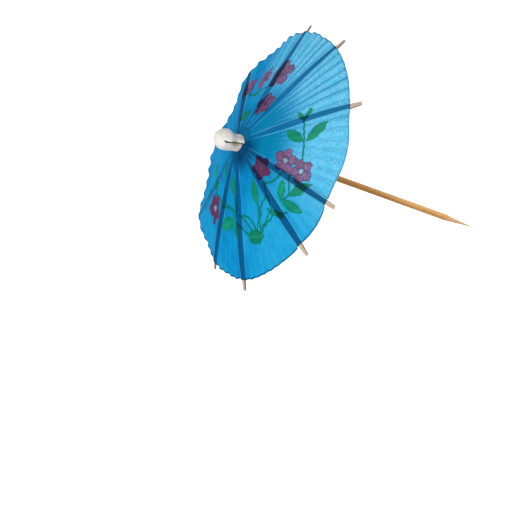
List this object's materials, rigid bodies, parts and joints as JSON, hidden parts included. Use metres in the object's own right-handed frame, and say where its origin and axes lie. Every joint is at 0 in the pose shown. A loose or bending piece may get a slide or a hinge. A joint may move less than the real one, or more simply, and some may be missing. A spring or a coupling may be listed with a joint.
{
  "type": "cocktail umbrella pick",
  "caption": "Folding paper parasol on a pointed wooden pick, with slat ribs, stretchers, a sliding runner and ring, and a rounded white cap.",
  "frame": {"origin": "on the stick's axis, at the shoulder where the point ends and the round shank begins", "axes": "+Z along the stick from the point to the cap; a camera at -Y sees the pictured side"},
  "size_m": [0.0869, 0.0869, 0.0994],
  "materials": {
    "stick_wood": "smooth raw wood with fine grain",
    "rib_wood": "raw split wood",
    "stretcher_wood": "raw split wood",
    "collar_wood": "raw turned wood",
    "canopy_paper": "thin dyed fibre paper with a printed flower spray",
    "cap_plastic": "soft white plastic",
    "ring_plastic": "milky plastic tube",
    "thread": "twisted cotton thread",
    "rolled_newsprint": "unprinted grey newsprint"
  },
  "bodies": {
    "root": {"stick": "stick_wood", "cap": "cap_plastic", "hub": "collar_wood", "hub_thread": "thread", "canopy_crown": "canopy_paper"},
    "rib_1": {"rib_1": "rib_wood", "tie_1": "thread", "canopy_gore_1": "canopy_paper"},
    "rib_2": {"rib_2": "rib_wood", "tie_2": "thread", "canopy_gore_2": "canopy_paper"},
    "rib_3": {"rib_3": "rib_wood", "tie_3": "thread", "canopy_gore_3": "canopy_paper"},
    "rib_4": {"rib_4": "rib_wood", "tie_4": "thread", "canopy_gore_4": "canopy_paper"},
    "rib_5": {"rib_5": "rib_wood", "tie_5": "thread", "canopy_gore_5": "canopy_paper"},
    "rib_6": {"rib_6": "rib_wood", "tie_6": "thread", "canopy_gore_6": "canopy_paper"},
    "rib_7": {"rib_7": "rib_wood", "tie_7": "thread", "canopy_gore_7": "canopy_paper"},
    "rib_8": {"rib_8": "rib_wood", "tie_8": "thread", "canopy_gore_8": "canopy_paper"},
    "rib_9": {"rib_9": "rib_wood", "tie_9": "thread", "canopy_gore_9": "canopy_paper"},
    "rib_10": {"rib_10": "rib_wood", "tie_10": "thread", "canopy_gore_10": "canopy_paper"},
    "stretcher_1": {"stretcher_1": "stretcher_wood"},
    "stretcher_2": {"stretcher_2": "stretcher_wood"},
    "stretcher_3": {"stretcher_3": "stretcher_wood"},
    "stretcher_4": {"stretcher_4": "stretcher_wood"},
    "stretcher_5": {"stretcher_5": "stretcher_wood"},
    "stretcher_6": {"stretcher_6": "stretcher_wood"},
    "stretcher_7": {"stretcher_7": "stretcher_wood"},
    "stretcher_8": {"stretcher_8": "stretcher_wood"},
    "stretcher_9": {"stretcher_9": "stretcher_wood"},
    "stretcher_10": {"stretcher_10": "stretcher_wood"},
    "runner": {"runner": "collar_wood", "runner_thread": "thread", "runner_sleeve": "rolled_newsprint"},
    "retaining_ring": {"retaining_ring": "ring_plastic"}
  },
  "joints": [
    {"name": "canopy_fold", "type": "hinge", "parent": "root", "child": "rib_1", "pos_m": [0.00283, 0.00065, 0.08], "axis": [-0.2233, 0.9748, 0], "range_deg": [0, 65.07], "deforming": ["canopy_gore_1"]},
    {"name": "rib_2_hinge", "type": "hinge", "parent": "root", "child": "rib_2", "pos_m": [0.00159, 0.00242, 0.08], "axis": [-0.8358, 0.549, 0], "range_deg": [0, 65.07], "deforming": ["canopy_gore_2"]},
    {"name": "rib_3_hinge", "type": "hinge", "parent": "root", "child": "rib_3", "pos_m": [-0.00015, 0.0029, 0.08], "axis": [-0.9986, -0.0523, 0], "range_deg": [0, 65.07], "deforming": ["canopy_gore_3"]},
    {"name": "rib_4_hinge", "type": "hinge", "parent": "root", "child": "rib_4", "pos_m": [-0.00186, 0.00222, 0.08], "axis": [-0.7672, -0.6414, 0], "range_deg": [0, 65.07], "deforming": ["canopy_gore_4"]},
    {"name": "rib_5_hinge", "type": "hinge", "parent": "root", "child": "rib_5", "pos_m": [-0.0027, 0.00107, 0.08], "axis": [-0.3681, -0.9298, 0], "range_deg": [0, 65.07], "deforming": ["canopy_gore_5"]},
    {"name": "rib_6_hinge", "type": "hinge", "parent": "root", "child": "rib_6", "pos_m": [-0.00287, -0.00044, 0.08], "axis": [0.153, -0.9882, 0], "range_deg": [0, 65.07], "deforming": ["canopy_gore_6"]},
    {"name": "rib_7_hinge", "type": "hinge", "parent": "root", "child": "rib_7", "pos_m": [-0.0017, -0.00235, 0.08], "axis": [0.81, -0.5864, 0], "range_deg": [0, 65.07], "deforming": ["canopy_gore_7"]},
    {"name": "rib_8_hinge", "type": "hinge", "parent": "root", "child": "rib_8", "pos_m": [-0.00061, -0.00284, 0.08], "axis": [0.9778, -0.2096, 0], "range_deg": [0, 65.07], "deforming": ["canopy_gore_8"]},
    {"name": "rib_9_hinge", "type": "hinge", "parent": "root", "child": "rib_9", "pos_m": [0.00163, -0.0024, 0.08], "axis": [0.8281, 0.5606, 0], "range_deg": [0, 65.07], "deforming": ["canopy_gore_9"]},
    {"name": "rib_10_hinge", "type": "hinge", "parent": "root", "child": "rib_10", "pos_m": [0.00277, -0.00086, 0.08], "axis": [0.2974, 0.9548, 0], "range_deg": [0, 65.07], "deforming": ["canopy_gore_10"]},
    {"name": "stretcher_1_hinge", "type": "hinge", "parent": "rib_1", "child": "stretcher_1", "pos_m": [0.01859, 0.00426, 0.07477], "axis": [-0.2233, 0.9748, 0], "range_deg": [-130.14, 0]},
    {"name": "stretcher_2_hinge", "type": "hinge", "parent": "rib_2", "child": "stretcher_2", "pos_m": [0.01047, 0.01594, 0.07477], "axis": [-0.8358, 0.549, 0], "range_deg": [-130.14, 0]},
    {"name": "stretcher_3_hinge", "type": "hinge", "parent": "rib_3", "child": "stretcher_3", "pos_m": [-0.001, 0.01904, 0.07477], "axis": [-0.9986, -0.0523, 0], "range_deg": [-130.14, 0]},
    {"name": "stretcher_4_hinge", "type": "hinge", "parent": "rib_4", "child": "stretcher_4", "pos_m": [-0.01223, 0.01463, 0.07477], "axis": [-0.7672, -0.6414, 0], "range_deg": [-130.14, 0]},
    {"name": "stretcher_5_hinge", "type": "hinge", "parent": "rib_5", "child": "stretcher_5", "pos_m": [-0.01773, 0.00702, 0.07477], "axis": [-0.3681, -0.9298, 0], "range_deg": [-130.14, 0]},
    {"name": "stretcher_6_hinge", "type": "hinge", "parent": "rib_6", "child": "stretcher_6", "pos_m": [-0.01885, -0.00292, 0.07477], "axis": [0.153, -0.9882, 0], "range_deg": [-130.14, 0]},
    {"name": "stretcher_7_hinge", "type": "hinge", "parent": "rib_7", "child": "stretcher_7", "pos_m": [-0.01118, -0.01545, 0.07477], "axis": [0.81, -0.5864, 0], "range_deg": [-130.14, 0]},
    {"name": "stretcher_8_hinge", "type": "hinge", "parent": "rib_8", "child": "stretcher_8", "pos_m": [-0.004, -0.01865, 0.07477], "axis": [0.9778, -0.2096, 0], "range_deg": [-130.14, 0]},
    {"name": "stretcher_9_hinge", "type": "hinge", "parent": "rib_9", "child": "stretcher_9", "pos_m": [0.01069, -0.01579, 0.07477], "axis": [0.8281, 0.5606, 0], "range_deg": [-130.14, 0]},
    {"name": "stretcher_10_hinge", "type": "hinge", "parent": "rib_10", "child": "stretcher_10", "pos_m": [0.01821, -0.00567, 0.07477], "axis": [0.2974, 0.9548, 0], "range_deg": [-130.14, 0]},
    {"name": "runner_hinge", "type": "hinge", "parent": "stretcher_1", "child": "runner", "pos_m": [0.00283, 0.00065, 0.06953], "axis": [-0.2233, 0.9748, 0], "range_deg": [0, 65.07]},
    {"name": "ring_slide", "type": "slide", "parent": "runner", "child": "retaining_ring", "axis": [0, 0, -1], "range_m": [0, 0.03]}
  ],
  "couplings": [
    {"joint": "rib_2_hinge", "follows": "canopy_fold", "ratio": 1},
    {"joint": "rib_3_hinge", "follows": "canopy_fold", "ratio": 1},
    {"joint": "rib_4_hinge", "follows": "canopy_fold", "ratio": 1},
    {"joint": "rib_5_hinge", "follows": "canopy_fold", "ratio": 1},
    {"joint": "rib_6_hinge", "follows": "canopy_fold", "ratio": 1},
    {"joint": "rib_7_hinge", "follows": "canopy_fold", "ratio": 1},
    {"joint": "rib_8_hinge", "follows": "canopy_fold", "ratio": 1},
    {"joint": "rib_9_hinge", "follows": "canopy_fold", "ratio": 1},
    {"joint": "rib_10_hinge", "follows": "canopy_fold", "ratio": 1},
    {"joint": "stretcher_1_hinge", "follows": "canopy_fold", "ratio": -2},
    {"joint": "stretcher_2_hinge", "follows": "canopy_fold", "ratio": -2},
    {"joint": "stretcher_3_hinge", "follows": "canopy_fold", "ratio": -2},
    {"joint": "stretcher_4_hinge", "follows": "canopy_fold", "ratio": -2},
    {"joint": "stretcher_5_hinge", "follows": "canopy_fold", "ratio": -2},
    {"joint": "stretcher_6_hinge", "follows": "canopy_fold", "ratio": -2},
    {"joint": "stretcher_7_hinge", "follows": "canopy_fold", "ratio": -2},
    {"joint": "stretcher_8_hinge", "follows": "canopy_fold", "ratio": -2},
    {"joint": "stretcher_9_hinge", "follows": "canopy_fold", "ratio": -2},
    {"joint": "stretcher_10_hinge", "follows": "canopy_fold", "ratio": -2},
    {"joint": "runner_hinge", "follows": "canopy_fold", "ratio": 1}
  ]
}
